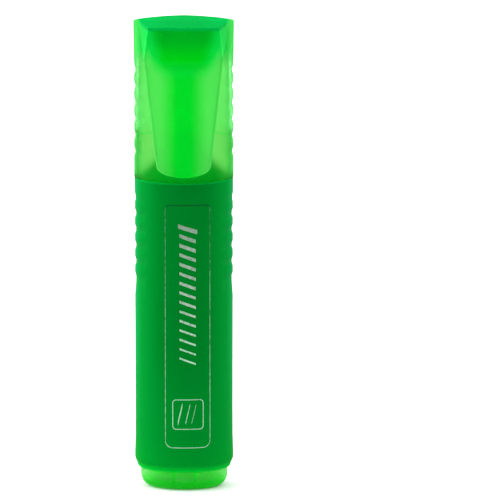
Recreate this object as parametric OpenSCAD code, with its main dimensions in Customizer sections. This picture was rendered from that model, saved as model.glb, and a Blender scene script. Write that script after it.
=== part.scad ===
// Flat chisel-tip highlighter with a push-on cap, standing on its tail plug.
// The origin is the centre of the tail plug's flat foot, +Z runs along the pen
// towards the cap, and the pocket clip and print side face -Y.

/* [Barrel] */
// Width of the barrel at the cap seam
barrel_w = 24.3; // [23.8:0.1:24.4]
// Depth of the barrel, front to back
barrel_d = 16.64; // [16:0.1:20]
// Height of the seam where the cap's rim lands, above the foot
seam_z = 78.4; // [76:0.1:90]
// Wall thickness of the barrel
barrel_wall = 1.5; // [1.3:0.05:1.7]
// Height of the joint between barrel and tail plug
tail_z = 4.9; // [4.8:0.1:5.6]

/* [Grip ribs] */
// Number of valleys between the grip ribs on each side of the barrel
barrel_valleys = 6; // [2:1:6]
// Spacing of the grip ribs on the barrel
barrel_pitch = 4.03; // [3.6:0.01:4.2]
// Number of valleys between the grip ribs on each side of the cap
cap_valleys = 6; // [2:1:6]
// Spacing of the grip ribs on the cap
cap_pitch = 4.1; // [3.6:0.05:4.2]
// Depth of the valleys between the ribs
rib_depth = 0.27; // [0.1:0.01:0.4]

/* [Nose and nib] */
// Radius of the round neck that carries the nib
neck_r = 3.93; // [3.8:0.01:4.1]
// Height of the neck's top above the seam
neck_h = 20.7; // [19:0.1:22]
// Width of the chisel nib
nib_w = 6.0; // [5:0.1:6.2]
// Thickness of the chisel nib
nib_t = 4.6; // [3.6:0.1:4.8]
// How far the nib stands out of the neck
nib_out = 7.4; // [6:0.1:8]
// Slant of the writing edge, in degrees
nib_slant = 19; // [10:1:30]

/* [Ink reservoir] */
// Radius of the fibre reservoir over its film sleeve
res_r = 6.0; // [5:0.1:6.2]
// Thickness of the film sleeve
film_t = 0.25; // [0.2:0.01:0.4]

/* [Cap] */
// Height of the cap above the seam
cap_h = 39.6; // [38:0.1:44]
// Width of the cap at its rim
cap_w = 24.5; // [24.4:0.1:25.2]
// Depth of the cap's closed end, centre to back
cap_top_b = 5.1; // [5:0.1:7]
// Thickness of the cap's thick wall and closed end
cap_wall = 1.3; // [1.2:0.05:1.5]

/* [Pocket clip] */
// Distance from the pen's axis to the clip's front face
clip_y = 10.45; // [10.3:0.05:12]
// Thickness of the clip
clip_t = 1.45; // [1.2:0.05:1.6]
// Half width of the clip near its tip
clip_tip_w = 6.6; // [5:0.1:8]
// Half width of the clip where it leaves the root
clip_root_w = 9.75; // [8:0.1:10.5]

/* [Hidden] */
N = 48;                              // points round each oval section
oval_off = (barrel_w - barrel_d) / 2; // half width minus half depth
ba = barrel_w / 2;
bb = barrel_d / 2;
bore_a = ba - barrel_wall;           // barrel bore, half width
bore_b = bb - barrel_wall;
nest_a = ba - 1.08;                  // seat for the nose section at the barrel's top
nest_b = bb - 1.08;
nest_z = seam_z - 8.4;
neck_top = seam_z + neck_h;
nib_tip = neck_top + nib_out;
res_z0 = tail_z + 8.1;
res_z1 = nest_z - 0.4;
nib_z0 = res_z1 - 8;
cap_top = seam_z + cap_h;
ca = cap_w / 2;
cb = bb + (ca - ba);
step_z = seam_z + 10.6;              // inner wall step of the cap
root_z = cap_top - 8.3;              // underside of the clip root
clip_tip_z = seam_z + 1.8;
fit = 0.03;                          // clearance of pushed-together pieces

// One oval ring at height z: half width a, half depth f at the front, k at the back.
// g pulls in the sides only, which forms the valleys between the grip ribs.
function side_w(t) = let (s = abs(sin(t))) s < 0.52 ? 1 : s < 0.65 ? 0.45 : 0;
function ring(z, a, f, k, g = 0) = [for (j = [0:N - 1]) let (t = 360 * j / N)
    [(a - g * side_w(t)) * cos(t), (sin(t) >= 0 ? k : f) * sin(t), z]];

function side_faces(n, i, k) = [for (j = [0:n - 1]) each
    [[i * n + j, k * n + j, k * n + (j + 1) % n],
     [i * n + j, k * n + (j + 1) % n, i * n + (j + 1) % n]]];

// A closed body through a stack of rings, capped at both ends.
module loft(rings) {
    n = len(rings[0]);
    m = len(rings);
    polyhedron(points = [for (r = rings) each r],
        faces = concat([[for (j = [0:n - 1]) j]],
            [[for (j = [n - 1:-1:0]) (m - 1) * n + j]],
            [for (i = [0:m - 2]) each side_faces(n, i, i + 1)]));
}

// A tube open at both ends: rings up the outside, then down the inside.
module sleeve(rings) {
    n = len(rings[0]);
    m = len(rings);
    polyhedron(points = [for (r = rings) each r],
        faces = [for (i = [0:m - 1]) each side_faces(n, i, (i + 1) % m)]);
}

// Rings of one valley between two ribs.
function valley(zc, a, off, d) = [
    ring(zc - 1.3, a, a - off, a - off, 0),
    ring(zc - 0.55, a, a - off, a - off, d),
    ring(zc + 0.55, a, a - off, a - off, d),
    ring(zc + 1.3, a, a - off, a - off, 0)];

// Round-cornered slab section, used by the nib and its seat.
module slab(w, t, r) {
    union() {
        square([w - 2 * r, t], center = true);
        square([w, t - 2 * r], center = true);
        for (sx = [-1, 1], sy = [-1, 1])
            translate([sx * (w / 2 - r), sy * (t / 2 - r)]) circle(r, $fn = 40);
    }
}

function b_out(z) = ring(z[0], z[1], z[1] - oval_off, z[1] - oval_off);

// Flat-oval moulded barrel: open both ends, ribbed sides, slim waist below the ribs.
module barrel() {
    v0 = seam_z - 5.2;
    color([0.0, 0.56, 0.18])
    union() {
        sleeve(concat(
            [for (p = [[0, -1.1], [0.4, -0.69], [0.9, -0.57], [1.4, -0.35],
                       [2.0, -0.11], [2.7, 0.02], [3.8, 0.02], [5.6, -0.04], [8.1, -0.12],
                       [15, -0.14], [43.1, -0.08], [44.8, -0.1]])
                b_out([tail_z + p[0], ba + p[1]])],
            [for (k = [barrel_valleys - 1:-1:0]) each
                valley(v0 - k * barrel_pitch, ba - 0.06, oval_off, rib_depth)],
            [b_out([seam_z - 2.6, ba]), b_out([seam_z - 0.25, ba]),
             b_out([seam_z, ba - 0.15])],
            [ring(seam_z, nest_a, nest_b, nest_b), ring(nest_z, nest_a, nest_b, nest_b),
             ring(nest_z, bore_a, bore_b, bore_b), ring(tail_z, bore_a, bore_b, bore_b)]));
        // Long fins on the side walls that centre the reservoir.
        for (sx = [-1, 1], y = [-2.2, 2.2])
            translate([sx * (res_r + bore_a) / 2, y, (res_z0 + res_z1) / 2])
                cube([bore_a - res_r - 0.2, 1, res_z1 - res_z0 - 6], center = true);
    }
}

// Flared nose: an oval spigot pushed into the barrel, a concave flare, a round neck.
module nose_section() {
    fz = seam_z;
    fh = 11.1;
    na = nest_a;
    nb = nest_b;
    r1 = neck_r + 0.17;
    color([0.0, 0.7, 0.28])
    difference() {
        union() {
            loft(concat(
                [ring(nest_z + 0.1, na - fit, nb - fit, nb - fit),
                 ring(fz - 0.3, na - fit, nb - fit, nb - fit),
                 ring(fz + 0.35, na - 0.05, nb - 0.05, nb - 0.05)],
                [for (i = [1:11]) let (t = 1 - i / 12, q = pow(t, 2.05))
                    ring(fz + fh * (1 - t), r1 + (na - 0.1 - r1) * q,
                         r1 + (nb - 0.1 - r1) * q, r1 + (nb - 0.1 - r1) * q)],
                [ring(fz + fh + 0.2, r1 - 0.02, r1 - 0.02, r1 - 0.02)]));
            translate([0, 0, fz + fh - 0.6])
                rotate_extrude($fn = 72)
                    polygon([[0, 0], [r1, 0], [r1, 1.4], [neck_r, 1.7],
                             [neck_r, neck_h - fh + 0.6 - 0.6],
                             [neck_r - 0.18, neck_h - fh + 0.6 - 0.17],
                             [neck_r - 0.6, neck_h - fh + 0.6], [0, neck_h - fh + 0.6]]);
        }
        // Hollow inside of the spigot and flare.
        loft(concat(
            [ring(nest_z - 1, na - 1.3, nb - 1.3, nb - 1.3),
             ring(fz - 1.2, na - 1.3, nb - 1.3, nb - 1.3)],
            [for (i = [2, 4, 6, 8]) let (t = 1 - i / 10, q = pow(t, 2.05))
                ring(fz - 1.2 + 10 * (1 - t), 3.4 + (na - 4.8) * q, 2.9 + (nb - 4.3) * q,
                     2.9 + (nb - 4.3) * q)]));
        // Seat of the nib.
        translate([0, 0, fz + 4])
            linear_extrude(height = neck_h)
                slab(nib_w + 0.06, nib_t + 0.06, 2.03);
    }
}

// Chisel nib: a long round-cornered fibre slab, slant-cut, with two chisel facets.
module nib() {
    color([0.0, 0.33, 0.12])
    difference() {
        translate([0, 0, nib_z0])
            linear_extrude(height = nib_tip - nib_z0)
                slab(nib_w, nib_t, 2);
        // Slanted end.
        translate([-nib_w / 2 + 0.7, 0, nib_tip])
            rotate([0, nib_slant, 0])
                translate([-10, -10, 0]) cube([30, 20, 10]);
        // Left and right shoulders, slightly tapered.
        for (s = [-1, 1])
            translate([s * (nib_w / 2), 0, neck_top + 2.2])
                rotate([0, -s * 9.5, 0])
                    translate([s > 0 ? 0 : -6, -10, 0]) cube([6, 20, 12]);
        // Chisel facets at the front and the back.
        for (s = [-1, 1])
            translate([0, s * nib_t / 2, neck_top + 1.8])
                rotate([s * 17, 0, 0])
                    translate([-10, s > 0 ? 0 : -6, 0]) cube([20, 6, 12]);
    }
}

// Fibre ink reservoir, with the socket that the nib's tail fills.
module reservoir_core() {
    color([0.55, 0.95, 0.35])
    difference() {
        translate([0, 0, res_z0]) cylinder(r = res_r - film_t - 0.01, h = res_z1 - res_z0, $fn = 72);
        translate([0, 0, nib_z0 - 0.02])
            linear_extrude(height = 12) slab(nib_w + 0.04, nib_t + 0.04, 2.02);
    }
}

// Thin film wrapped round the reservoir.
module reservoir_sleeve() {
    color([0.85, 0.9, 0.85])
    translate([0, 0, res_z0])
        rotate_extrude($fn = 72)
            translate([res_r - film_t, 0]) square([film_t, res_z1 - res_z0]);
}

// Translucent tail plug: rounded foot, oval spigot, two inner plates that hold the reservoir off.
module tail_plug() {
    pa = bore_a + 0.06;
    color([0.2, 0.85, 0.2])
    union() {
        loft(concat(
            [for (i = [6:-1:0]) let (v = i * 15)
                b_out([3.4 - 3.4 * sin(v), pa - 2.8 + 2.8 * cos(v)])],
            [ring(tail_z - 0.25, pa, pa - oval_off, pa - oval_off),
             ring(tail_z - 0.05, pa - 0.12, pa - 0.12 - oval_off, pa - 0.12 - oval_off),
             ring(tail_z + 7.4, bore_a - fit, bore_b - fit, bore_b - fit),
             ring(tail_z + 7.4, bore_a - 1.25, bore_b - 1.25, bore_b - 1.25),
             ring(1.5, bore_a - 1.25, bore_b - 1.25, bore_b - 1.25)]));
        for (sx = [-1, 1])
            translate([sx * 2.7, 0, (1.4 + res_z0) / 2])
                cube([0.9, 2 * (bore_b - 1.25) * 0.965 + 0.5, res_z0 - 1.4], center = true);
    }
}

// Back and front half depth of the cap, leaning in towards its closed end.
function cap_b(z) = cb - (cb - cap_top_b) * pow((z - seam_z) / cap_h, 1.15);
function c_ring(z, a, g = 0) = ring(z, a, cap_b(z) + a - ca, cap_b(z) + a - ca, g);
function c_valley(zc) = [c_ring(zc - 1.3, ca), c_ring(zc - 0.55, ca, rib_depth),
                         c_ring(zc + 0.55, ca, rib_depth), c_ring(zc + 1.3, ca)];

// Translucent cap: closed wedge-shaped shell, thin skirt, solid clip root at the top front.
module cap_shell() {
    v0 = cap_top - 12.7;
    ia = ca - cap_wall;
    color([0.25, 0.95, 0.3])
    union() {
        loft(concat(
            [ring(cap_top - cap_wall, ia - 0.4, cap_top_b - cap_wall + 0.15, cap_top_b - cap_wall + 0.15)],
            [for (z = [cap_top - 4, cap_top - 12, cap_top - 20, step_z + 0.35])
                ring(z, ia, cap_b(z) - cap_wall, cap_b(z) - cap_wall)],
            [ring(step_z - 0.35, nest_a + 0.18, cap_b(step_z) - 0.75, cap_b(step_z) - 0.75),
             ring(seam_z, nest_a + 0.18, nest_b + 0.18, nest_b + 0.18),
             c_ring(seam_z, ca - 0.1), c_ring(seam_z + 0.3, ca)],
            [for (k = [cap_valleys - 1:-1:0]) each c_valley(v0 - k * cap_pitch)],
            [c_ring(cap_top - 9, ca + 0.04), c_ring(cap_top - 4, ca + 0.1),
             c_ring(cap_top - 1, ca + 0.15), c_ring(cap_top - 0.3, ca + 0.08),
             c_ring(cap_top, ca - 0.22)]));
        // Solid root of the clip, with splayed flanks.
        clip_root();
        // Collar under the closed end that grips the inner cap's stub.
        translate([0, 0, cap_top - cap_wall - 3.4])
            difference() {
                cylinder(r = 3.4, h = 3.8, $fn = 60);
                translate([0, 0, -1]) cylinder(r = 2.5, h = 4.4, $fn = 60);
            }
    }
}

module clip_root() {
    y1 = clip_y;
    q = [[cap_top, 11.3, 8.7], [cap_top - 4, 10.9, 8.9], [root_z + 1.2, 10.5, 9.1], [root_z, 10.2, 8.9]];
    loft([for (i = [3:-1:0]) let (p = q[i], z = p[0], yb = -0.5 - (cap_top - z) * 0.28)
        [[-p[1], yb, z], [-p[2] - 0.25, 0.6 - y1, z], [-p[2] + 0.4, -y1, z],
         [p[2] - 0.4, -y1, z], [p[2] + 0.25, 0.6 - y1, z], [p[1], yb, z],
         [p[1] - 1.5, yb + 0.4, z], [-p[1] + 1.5, yb + 0.4, z]]]);
}

// Seal liner: a closed tube that slips over the neck and covers the nib.
module inner_cap() {
    z0 = seam_z + 12.4;
    z1 = nib_tip + 1.6;
    color([0.15, 0.85, 0.25])
    translate([0, 0, z0])
        rotate_extrude($fn = 72)
            polygon([[neck_r + 0.1, 0], [neck_r + 0.8, 0], [neck_r + 1.0, 0.4],
                     [neck_r + 0.9, z1 - z0 - 1.4], [neck_r + 0.2, z1 - z0 + 0.4],
                     [2.5 - fit, z1 - z0 + 1.0], [2.5 - fit, cap_top - cap_wall - z0 - 0.05],
                     [0, cap_top - cap_wall - z0 - 0.05], [0, z1 - z0],
                     [neck_r - 1, z1 - z0], [neck_r + 0.1, z1 - z0 - 1.6]]);
}

// Wide springy tongue: tapers to a rounded tip just above the seam.
module pocket_clip() {
    z1 = root_z - 0.12;
    zt = clip_tip_z;
    wz = zt + 3.3;
    color([0.3, 1.0, 0.35])
    intersection() {
        rotate([90, 0, 0])
            translate([0, 0, clip_y - clip_t])
                linear_extrude(height = clip_t)
                    polygon(concat(
                        [[-clip_root_w, z1], [-clip_tip_w, wz]],
                        [for (i = [0:12]) let (u = 180 + i * 15)
                            [clip_tip_w * (0.55 * cos(u) + 0.45 * sign(cos(u)) * (1 - pow(1 - abs(cos(u)), 2))),
                             wz + 3.3 * sin(u) * 1.0 - 0.0]],
                        [[clip_tip_w, wz], [clip_root_w, z1]]));
        // Softly rounded front and back along the length.
        translate([0, -clip_y + 60, seam_z - 5])
            cylinder(r = 60, h = cap_h + 10, $fn = 240);
    }
}

barrel();
nose_section();
nib();
reservoir_core();
reservoir_sleeve();
tail_plug();
cap_shell();
inner_cap();
pocket_clip();
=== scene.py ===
import bpy
import bmesh
import math
import numpy as np
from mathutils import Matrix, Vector


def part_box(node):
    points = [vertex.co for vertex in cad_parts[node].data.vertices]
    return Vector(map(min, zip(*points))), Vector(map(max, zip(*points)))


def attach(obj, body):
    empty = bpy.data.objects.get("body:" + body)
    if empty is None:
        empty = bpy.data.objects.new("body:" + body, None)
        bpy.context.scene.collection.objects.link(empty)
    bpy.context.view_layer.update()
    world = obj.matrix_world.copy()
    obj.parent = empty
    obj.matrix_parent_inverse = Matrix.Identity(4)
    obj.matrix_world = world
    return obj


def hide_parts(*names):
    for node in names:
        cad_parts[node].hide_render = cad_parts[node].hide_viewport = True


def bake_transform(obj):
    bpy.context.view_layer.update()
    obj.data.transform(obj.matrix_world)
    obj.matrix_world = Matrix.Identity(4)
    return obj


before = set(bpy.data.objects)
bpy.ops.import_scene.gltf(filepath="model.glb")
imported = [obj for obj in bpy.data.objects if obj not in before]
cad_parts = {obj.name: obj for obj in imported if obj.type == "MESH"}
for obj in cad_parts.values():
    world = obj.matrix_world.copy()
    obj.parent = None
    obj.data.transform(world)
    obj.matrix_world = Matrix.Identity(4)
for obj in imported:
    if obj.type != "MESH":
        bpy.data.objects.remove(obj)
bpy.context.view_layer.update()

MM = 0.001


def box_mm(node):
    lo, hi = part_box(node)
    return np.array(lo) / MM, np.array(hi) / MM


# ---------------------------------------------------------------------------
# Driving sizes, in mm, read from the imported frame
# ---------------------------------------------------------------------------
bar_lo, bar_hi = box_mm("barrel")
cap_lo, cap_hi = box_mm("cap_shell")
nose_lo, nose_hi = box_mm("nose_section")
nib_lo, nib_hi = box_mm("nib")
plug_lo, plug_hi = box_mm("tail_plug")
inner_lo, inner_hi = box_mm("inner_cap")
clip_lo, clip_hi = box_mm("pocket_clip")

TAIL = bar_lo[2]            # joint of barrel and plug
SEAM = bar_hi[2]            # where the cap's rim lands
TOP = cap_hi[2]             # closed end of the cap
BA = bar_hi[0] - 0.02       # barrel half width
BB = bar_hi[1] - 0.02       # barrel half depth
OFF = BA - BB
CA = cap_hi[0] - 0.15       # cap half width
CB = BB + CA - BA - 0.02
NECK_TOP = nose_hi[2]
NIB_TIP = nib_hi[2]
PA = plug_hi[0]             # plug half width
CLIP_Y = -clip_lo[1]        # clip front face distance from the axis
CLIP_TIP = clip_lo[2]
ROOT = clip_hi[2] + 0.12    # underside of the clip root
NEST_A = nose_hi[0] + 0.03
NEST_B = nose_hi[1] + 0.03
NECK_R = 3.93


# ---------------------------------------------------------------------------
# Mesh helpers
# ---------------------------------------------------------------------------
def smoothstep(a, b, x):
    t = np.clip((np.asarray(x, float) - a) / (b - a), 0, 1)
    return t * t * (3 - 2 * t)


def profile(points):
    """A smooth curve through (x, y) points that doesn't overshoot."""
    p = np.array(points, float)
    x, y = p[:, 0], p[:, 1]
    h = np.diff(x)
    d = np.diff(y) / h
    m = np.zeros(len(x))
    m[0], m[-1] = d[0], d[-1]
    for i in range(1, len(x) - 1):
        if d[i - 1] * d[i] > 0:
            w1, w2 = 2 * h[i] + h[i - 1], h[i] + 2 * h[i - 1]
            m[i] = (w1 + w2) / (w1 / d[i - 1] + w2 / d[i])

    def f(q):
        q = np.clip(np.asarray(q, float), x[0], x[-1])
        i = np.clip(np.searchsorted(x, q, side="right") - 1, 0, len(x) - 2)
        t = (q - x[i]) / h[i]
        return ((2 * t**3 - 3 * t**2 + 1) * y[i] + (t**3 - 2 * t**2 + t) * h[i] * m[i]
                + (-2 * t**3 + 3 * t**2) * y[i + 1] + (t**3 - t**2) * h[i] * m[i + 1])

    return f


def make_object(name, verts, faces, smooth=True, angle=32):
    me = bpy.data.meshes.new(name)
    me.from_pydata([tuple(v) for v in np.asarray(verts, float) * MM], [], faces)
    me.validate()
    me.update()
    ob = bpy.data.objects.new(name, me)
    bpy.context.scene.collection.objects.link(ob)
    if smooth:
        shade(ob, angle)
    return ob


def shade(ob, angle):
    """Smooth shading, with edges sharper than the angle left crisp."""
    me = ob.data
    bm = bmesh.new()
    bm.from_mesh(me)
    lim = math.radians(angle)
    for f in bm.faces:
        f.smooth = True
    for e in bm.edges:
        e.smooth = not (len(e.link_faces) == 2 and e.calc_face_angle(0.0) > lim)
    bm.to_mesh(me)
    bm.free()
    me.update()


def loft_faces(m, n, close=False, cap0=True, cap1=True, base=0):
    faces = []
    last = m if close else m - 1
    for i in range(last):
        k = (i + 1) % m
        for j in range(n):
            j2 = (j + 1) % n
            faces.append((base + i * n + j, base + i * n + j2, base + k * n + j2, base + k * n + j))
    if not close:
        if cap0:
            faces.append(tuple(base + j for j in range(n - 1, -1, -1)))
        if cap1:
            faces.append(tuple(base + (m - 1) * n + j for j in range(n)))
    return faces


def loft(name, rings, close=False, angle=32, cap0=True, cap1=True):
    rings = np.asarray(rings, float)
    m, n, _ = rings.shape
    return make_object(name, rings.reshape(-1, 3), loft_faces(m, n, close, cap0, cap1), angle=angle)


def side_weight(s):
    """Where the grip ribs reach: full on the sides, gone on the front and back."""
    return 1 - smoothstep(0.5, 0.66, np.abs(s))


def oval(z, a, bf, bk, N, g=0.0, ex=2.0, ey=2.0, y0=0.0):
    t = np.linspace(0, 2 * np.pi, N, endpoint=False)
    c, s = np.cos(t), np.sin(t)
    x = (a - g * side_weight(s)) * np.sign(c) * np.abs(c) ** (2 / ex)
    b = np.where(s >= 0, bk, bf)
    y = y0 + b * np.sign(s) * np.abs(s) ** (2 / ey)
    return np.stack([x, y, np.full(N, float(z))], 1)


def boolean(target, tool, operation="UNION"):
    mod = target.modifiers.new("join", "BOOLEAN")
    mod.operation = operation
    mod.solver = "EXACT"
    mod.object = tool
    dg = bpy.context.evaluated_depsgraph_get()
    me = bpy.data.meshes.new_from_object(target.evaluated_get(dg))
    target.modifiers.remove(mod)
    old = target.data
    target.data = me
    me.name = target.name
    bpy.data.meshes.remove(old)
    me_tool = tool.data
    bpy.data.objects.remove(tool)
    bpy.data.meshes.remove(me_tool)
    return target


# ---------------------------------------------------------------------------
# Materials
# ---------------------------------------------------------------------------
class Mat:
    """A small node-building helper round one Principled material."""

    def __init__(self, name, attribute=None):
        self.m = bpy.data.materials.new(name)
        self.m.use_nodes = True
        self.t = self.m.node_tree
        self.t.nodes.clear()
        self.out = self.n("ShaderNodeOutputMaterial")
        self.p = self.n("ShaderNodeBsdfPrincipled")
        self.l(self.p.outputs[0], self.out.inputs[0])
        if attribute:
            # A place stored on the mesh, so that the look stays put when the piece bends.
            self.co = self.n("ShaderNodeAttribute", attribute_name=attribute).outputs["Vector"]
        else:
            self.co = self.n("ShaderNodeTexCoord").outputs["Object"]

    def n(self, kind, **props):
        node = self.t.nodes.new(kind)
        for k, v in props.items():
            setattr(node, k, v)
        return node

    def l(self, a, b):
        self.t.links.new(a, b)

    def s(self, **values):
        for k, v in values.items():
            self.p.inputs[k.replace("_", " ")].default_value = v

    def noise(self, scale, detail=3.0, rough=0.55, stretch=None, distortion=0.0):
        src = self.co
        if stretch:
            mp = self.n("ShaderNodeMapping")
            mp.inputs["Scale"].default_value = stretch
            self.l(src, mp.inputs["Vector"])
            src = mp.outputs[0]
        nz = self.n("ShaderNodeTexNoise")
        nz.inputs["Scale"].default_value = scale
        nz.inputs["Detail"].default_value = detail
        nz.inputs["Roughness"].default_value = rough
        nz.inputs["Distortion"].default_value = distortion
        self.l(src, nz.inputs["Vector"])
        return nz.outputs["Fac"]

    def rng(self, fac, a, b, lo=0.3, hi=0.7, soft=False):
        r = self.n("ShaderNodeMapRange")
        if soft:
            r.interpolation_type = "SMOOTHSTEP"
        r.inputs["From Min"].default_value = lo
        r.inputs["From Max"].default_value = hi
        r.inputs["To Min"].default_value = a
        r.inputs["To Max"].default_value = b
        self.l(fac, r.inputs["Value"])
        return r.outputs["Result"]

    def math(self, op, a, b=None, clamp=False):
        m = self.n("ShaderNodeMath", operation=op, use_clamp=clamp)
        for i, v in enumerate((a, b)):
            if v is None:
                continue
            if isinstance(v, (int, float)):
                m.inputs[i].default_value = v
            else:
                self.l(v, m.inputs[i])
        return m.outputs[0]

    def mix(self, fac, c1, c2):
        m = self.n("ShaderNodeMix", data_type="RGBA")
        for sock, v in ((m.inputs["Factor"], fac), (m.inputs[6], c1), (m.inputs[7], c2)):
            if isinstance(v, tuple):
                sock.default_value = v + (1.0,) * (4 - len(v))
            elif isinstance(v, (int, float)):
                sock.default_value = v
            else:
                self.l(v, sock)
        return m.outputs[2]

    def bump(self, height, strength, distance):
        b = self.n("ShaderNodeBump")
        b.inputs["Strength"].default_value = strength
        b.inputs["Distance"].default_value = distance
        self.l(height, b.inputs["Height"])
        self.l(b.outputs[0], self.p.inputs["Normal"])
        return b

    def xyz(self):
        sp = self.n("ShaderNodeSeparateXYZ")
        self.l(self.co, sp.inputs[0])
        return sp.outputs


def opaque_plastic(name, dark, light, rough=(0.42, 0.52), spec=0.42, low=None, z0=0.0, z1=1.0, ior=1.35, bands=()):
    m = Mat(name)
    cloud = m.noise(90, 3)
    grain = m.noise(5200, 2)
    col = m.mix(m.rng(cloud, 0.0, 1.0), dark, light)
    if low:
        # The colour shifts towards its foot, a little brighter and less blue.
        col = m.mix(m.rng(m.xyz()[2], 0.0, 1.0, z0, z1), low, col)
    if bands:
        ax = m.math("ABSOLUTE", m.xyz()[0])
        # Painted light: lighter towards both sides, where the side lamps fall, then a teal painted sheen along the side
        # edges.
        col = m.mix(m.rng(ax, 0.0, 1.0, 4.5 * MM, 10.5 * MM, soft=True), col, (0.0, 0.213, 0.022))
        col = m.mix(m.rng(ax, 0.0, 0.65, 10.2 * MM, 12.1 * MM, soft=True), col, (0.0, 0.27, 0.066))
        # Painted shade across the grip ribs: darker in waves along the pen, one wave to each rib.
        z = m.xyz()[2]
        turn = m.math("MULTIPLY", m.math("SUBTRACT", z, (SEAM - 5.2) * MM), 2 * math.pi / (4.03 * MM))
        grip = m.math("MULTIPLY", m.rng(z, 0.0, 1.0, (SEAM - 27.5) * MM, (SEAM - 25) * MM), m.rng(z, 1.0, 0.0, (SEAM - 5) * MM, (SEAM - 3) * MM))
        grip = m.math("MULTIPLY", grip, m.rng(ax, 0.0, 0.17, 9.0 * MM, 10.6 * MM, soft=True))
        col = m.mix(m.math("MULTIPLY", grip, m.rng(m.math("SINE", turn), 0.0, 1.0, -1.0, 1.0)), col, (0.0, 0.12, 0.03))
    # Painted light in bands along the pen: each band lifts the colour where light falls.
    for tone, b0, b1 in bands:
        col = m.mix(m.rng(m.xyz()[2], 0.0, 1.0 if abs(b1 - b0) < 3 else 0.8, b0 * MM, b1 * MM), col, tone)
    m.l(col, m.p.inputs["Base Color"])
    m.l(m.rng(m.noise(700, 4), rough[0], rough[1]), m.p.inputs["Roughness"])
    m.s(IOR=ior, Specular_IOR_Level=spec)
    m.p.inputs["Specular Tint"].default_value = (0.0, 1.0, 0.35, 1)
    flow = m.noise(60, 2, stretch=(1, 1, 0.25))
    h = m.math("ADD", m.math("MULTIPLY", grain, 0.5), m.math("MULTIPLY", flow, 0.8))
    m.bump(h, 0.18, 0.00006)
    return m.m


def clear_plastic(name, tint, deep, rough=(0.34, 0.44), trans=0.8, sss=0.0, emit=0.0, ior=1.3,
                  deep_low=None, z0=0.0, z1=0.0):
    m = Mat(name)
    cloud = m.noise(110, 3)
    grain = m.noise(4200, 2)
    col = m.mix(m.rng(cloud, 0.0, 1.0), tint, deep)
    if deep_low:
        px, py, pz = m.xyz()
        off = m.math("ABSOLUTE", m.math("SUBTRACT", m.math("ABSOLUTE", px), 2.7 * MM))
        upright = m.math("MULTIPLY", m.rng(off, 1.0, 0.0, 0.0003, 0.0007), m.rng(pz, 0.0, 0.75, 0.0012, 0.0024))
        col = m.mix(upright, col, (0.0, 0.36, 0.01))
        col = m.mix(m.rng(pz, 0.0, 1.0, z0, z1), col, deep_low)
    m.l(col, m.p.inputs["Base Color"])
    m.l(m.rng(m.noise(620, 4), rough[0], rough[1]), m.p.inputs["Roughness"])
    m.s(IOR=ior, Specular_IOR_Level=0.4, Transmission_Weight=trans)
    m.p.inputs["Specular Tint"].default_value = (0.0, 1.0, 0.2, 1)
    if sss:
        m.s(Subsurface_Weight=sss, Subsurface_Scale=0.0012)
        m.p.inputs["Subsurface Radius"].default_value = (0.35, 1.0, 0.3)
    if emit:
        # A painted green glow, standing in for the plastic's fluorescence.
        m.p.inputs["Emission Color"].default_value = (0.05, 1.0, 0.08, 1)
        m.s(Emission_Strength=emit)
    h = m.math("ADD", m.math("MULTIPLY", grain, 0.5), m.math("MULTIPLY", m.noise(75, 2), 0.7))
    m.bump(h, 0.15, 0.00006)
    return m.m


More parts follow.
